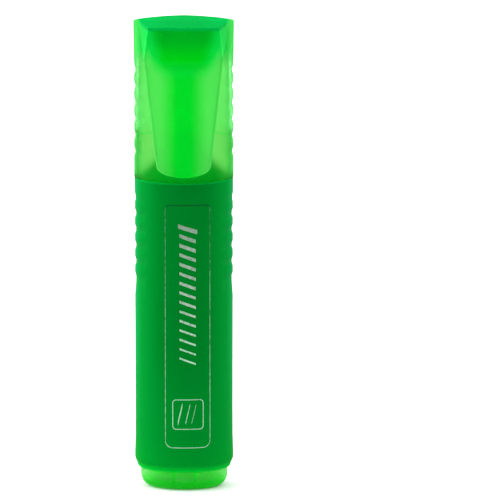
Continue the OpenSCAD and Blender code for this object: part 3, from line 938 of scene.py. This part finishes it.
def rounded_rect(cx, cz, hw, hh, r_top, r_bot, step=0.5):
    pts = []
    for sx, sz, r, a0 in ((1, 1, r_top, 0), (-1, 1, r_top, 90), (-1, -1, r_bot, 180), (1, -1, r_bot, 270)):
        for q in range(0, 91, 10):
            t = math.radians(a0 + q)
            pts.append((cx + sx * (hw - r) + r * math.cos(t), cz + sz * (hh - r) + r * math.sin(t)))
    out = []
    for p, q in zip(pts, pts[1:] + pts[:1]):
        n = max(1, int(math.hypot(q[0] - p[0], q[1] - p[1]) / step))
        out += [(p[0] + (q[0] - p[0]) * i / n, p[1] + (q[1] - p[1]) * i / n) for i in range(n)]
    return out


def bar_mark(x0, x1, z0, z1, th):
    """A slanted bar from (x0, z0) to (x1, z1), th thick along the pen."""
    n = 9
    xs = np.linspace(x0, x1, n)
    zc = np.linspace(z0, z1, n)
    g = np.stack([np.stack([xs, zc - th / 2], 1), np.stack([xs, zc + th / 2], 1)], 0)
    add_patch(g)


stroke_loop(rounded_rect(PX + 0.11, 42.12, 5.49, 30.72, 1.3, 1.7), 0.17)
stroke_loop(rounded_rect(0.98, 19.87, 3.75, 3.74, 0.85, 0.85, 0.3), 0.18)
# Thick-to-thin bars: a plain stroke-width motif in place of any wording.
zz = 66.85
for i, th in enumerate((1.1, 0.95, 0.95, 0.85, 0.85, 0.78, 0.78, 0.7, 0.7, 0.62, 0.62, 0.54, 0.54, 0.46, 0.46)):
    long = 2.35 if i == 0 else 2.0
    xm = 0.93
    bar_mark(xm - long, xm + long, zz + 0.75, zz - 0.75, th)
    zz -= 2.388
# Three slanted strokes of different width inside the small frame.
for x0, th in ((-0.95, 1.15), (0.95, 0.7), (2.45, 0.35)):
    bar_mark(x0 - 0.55, x0 + 0.55, 17.6, 22.3, th)

vv = np.concatenate(print_verts)
foil_ob = make_object("silver_print", vv, print_faces, angle=25)
finish_piece(foil_ob, mat_foil, "silver_foil", "pen")

# ---------------------------------------------------------------------------
# Inner CAD pieces that stay as they are
# ---------------------------------------------------------------------------
for node, mat in (("reservoir_core", mat_rod), ("reservoir_sleeve", mat_film)):
    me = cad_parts[node].data
    me.materials.clear()
    me.materials.append(mat)

# ---------------------------------------------------------------------------
# Studio: pale floor, soft light, camera at the photograph's angle
# ---------------------------------------------------------------------------
fm = Mat("studio_floor")
# Less pale under the two side lights, so that the floor stays even in brightness.
fx = fm.math("ABSOLUTE", fm.xyz()[0])
ring = fm.math("MULTIPLY", fm.rng(fx, 0.0, 1.0, 0.3, 0.55, soft=True), fm.rng(fx, 1.0, 0.0, 0.78, 0.93, soft=True))
ring = fm.math("MULTIPLY", ring, fm.rng(fm.math("ABSOLUTE", fm.math("SUBTRACT", fm.xyz()[1], 0.19)), 1.0, 0.0, 0.35, 0.75, soft=True))
fm.l(fm.mix(ring, fm.mix(fm.rng(fm.noise(3, 2), 0.0, 1.0), (0.93, 0.935, 0.93), (0.95, 0.95, 0.95)), (0.5, 0.5, 0.5)), fm.p.inputs["Base Color"])
fm.s(Roughness=0.85, Specular_IOR_Level=0.1)
nf = 96
disc = [(9 * math.cos(2 * math.pi * i / nf), 9 * math.sin(2 * math.pi * i / nf), 0) for i in range(nf)]
me = bpy.data.meshes.new("studio_floor")
me.from_pydata(disc, [], [tuple(range(nf))])
floor = bpy.data.objects.new("studio_floor", me)
bpy.context.scene.collection.objects.link(floor)
me.materials.append(fm.m)


def area(name, loc, target, size, power, color=(1, 1, 1)):
    li = bpy.data.lights.new(name, "AREA")
    li.shape = "RECTANGLE"
    li.size, li.size_y = size
    li.energy = power
    li.color = color
    ob = bpy.data.objects.new(name, li)
    ob.location = loc
    ob.rotation_mode = "QUATERNION"
    ob.rotation_quaternion = (Vector(loc) - Vector(target)).to_track_quat("Z", "Y")
    bpy.context.scene.collection.objects.link(ob)
    ob.visible_glossy = False
    return ob


MID = (0, 0, 0.06)
area("soft_left", (-0.95, 0.12, 0.42), MID, (0.8, 1.1), 14.5)
area("soft_right", (1.05, 0.26, 0.42), MID, (0.7, 1.1), 8.5)
area("soft_top", (0.0, 0.35, 1.4), (0, 0.1, 0), (1.2, 1.0), 2.0)

world = bpy.data.worlds.new("studio")
bpy.context.scene.world = world
world.use_nodes = True
wt = world.node_tree
bg = wt.nodes["Background"]


def wnode(kind, **props):
    node = wt.nodes.new(kind)
    for k, v in props.items():
        setattr(node, k, v)
    return node


def wmath(op, a, b=None, clamp=False):
    m = wnode("ShaderNodeMath", operation=op, use_clamp=clamp)
    for i, v in enumerate((a, b)):
        if v is None:
            continue
        if isinstance(v, (int, float)):
            m.inputs[i].default_value = v
        else:
            wt.links.new(v, m.inputs[i])
    return m.outputs[0]


# Tent light: bright overhead and on the left, dimmer on the right, dim from the front.
wc = wnode("ShaderNodeTexCoord")
ws = wnode("ShaderNodeSeparateXYZ")
wt.links.new(wc.outputs["Generated"], ws.inputs[0])
wx, wy, wz = ws.outputs
left = wmath("POWER", wmath("MAXIMUM", wmath("MULTIPLY", wx, -1.0), 0.0), 1.6)
rightw = wmath("POWER", wmath("MAXIMUM", wx, 0.0), 1.8)
upw = wmath("POWER", wmath("MAXIMUM", wz, 0.0), 4.0)
tent = wmath("ADD", wmath("MULTIPLY", left, 0.75), wmath("MULTIPLY", rightw, 0.42))
tent = wmath("ADD", tent, wmath("MULTIPLY", upw, 2.65))
tent = wmath("ADD", tent, 0.12)
lp = wnode("ShaderNodeLightPath")
final = wmath("ADD", wmath("MULTIPLY", tent, wmath("SUBTRACT", 1.0, lp.outputs["Is Camera Ray"])),
              wmath("MULTIPLY", lp.outputs["Is Camera Ray"], 1.0))
bg.inputs["Color"].default_value = (1, 1, 1, 1)
wt.links.new(final, bg.inputs["Strength"])

cam_data = bpy.data.cameras.new("camera")
cam = bpy.data.objects.new("camera", cam_data)
bpy.context.scene.collection.objects.link(cam)
bpy.context.scene.camera = cam
DIST = 3.0
el = math.radians(13.2)
cam_data.type = "PERSP"
cam_data.sensor_width = 36
# 500 px span 123.4 mm at the pen's distance.
cam_data.lens = 36 * DIST / 0.1234
back = Vector((0, -math.cos(el), math.sin(el)))
right = Vector((1, 0, 0))
up = Vector((0, math.sin(el), math.cos(el)))
aim = Vector((0, 0, 0.0592))
shift_x = (250 - 184) / 4.05 * MM
shift_y = 2.0 / 4.05 * MM
cam.location = aim + back * DIST + right * shift_x + up * shift_y
cam.rotation_mode = "QUATERNION"
cam.rotation_quaternion = back.to_track_quat("Z", "Y")
cam_data.clip_start, cam_data.clip_end = 0.01, 50

sc = bpy.context.scene
sc.view_settings.view_transform = "Standard"
sc.view_settings.look = "None"
sc.cycles.use_denoising = True
sc.cycles.max_bounces = 24
sc.cycles.transmission_bounces = 20
sc.cycles.glossy_bounces = 8
sc.cycles.diffuse_bounces = 6
sc.cycles.transparent_max_bounces = 16
sc.cycles.caustics_refractive = True
sc.cycles.caustics_reflective = True
sc.cycles.sample_clamp_indirect = 6
